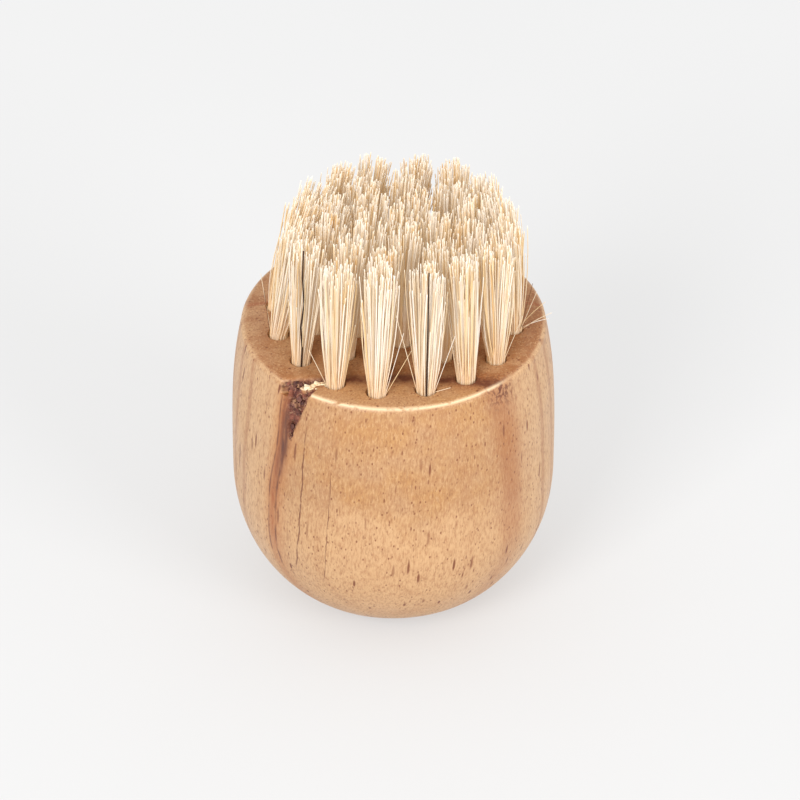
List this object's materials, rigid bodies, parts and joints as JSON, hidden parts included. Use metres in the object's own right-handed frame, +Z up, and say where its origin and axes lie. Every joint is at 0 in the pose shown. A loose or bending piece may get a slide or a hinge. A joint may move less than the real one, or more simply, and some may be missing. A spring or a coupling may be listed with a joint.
{
  "type": "beard brush",
  "caption": "Palm-held beard brush: a turned, round-bottomed wooden block with rings of natural bristle tufts standing from its flat top, trimmed on a slight slope.",
  "frame": {"origin": "centre of the flat foot that the brush stands on, at the bottom of its bounding box", "axes": "+Z up the turned axis towards the bristle; -Y is the front, where the bristle is trimmed longest; +X to the right"},
  "size_m": [0.052, 0.052, 0.0748],
  "materials": {
    "wood": "satin",
    "bristle": "matte",
    "anchor_steel": "satin"
  },
  "bodies": {
    "root": {"handle": "wood", "anchor_strips": "anchor_steel", "tuft_outer_01": "bristle", "tuft_outer_02": "bristle", "tuft_outer_03": "bristle", "tuft_outer_04": "bristle", "tuft_outer_05": "bristle", "tuft_outer_06": "bristle", "tuft_outer_07": "bristle", "tuft_outer_08": "bristle", "tuft_outer_09": "bristle", "tuft_outer_10": "bristle", "tuft_outer_11": "bristle", "tuft_outer_12": "bristle", "tuft_outer_13": "bristle", "tuft_outer_14": "bristle", "tuft_outer_15": "bristle", "tuft_outer_16": "bristle", "tuft_middle_01": "bristle", "tuft_middle_02": "bristle", "tuft_middle_03": "bristle", "tuft_middle_04": "bristle", "tuft_middle_05": "bristle", "tuft_middle_06": "bristle", "tuft_middle_07": "bristle", "tuft_middle_08": "bristle", "tuft_middle_09": "bristle", "tuft_middle_10": "bristle", "tuft_inner_01": "bristle", "tuft_inner_02": "bristle", "tuft_inner_03": "bristle", "tuft_inner_04": "bristle", "tuft_inner_05": "bristle", "tuft_centre": "bristle"}
  },
  "joints": []
}
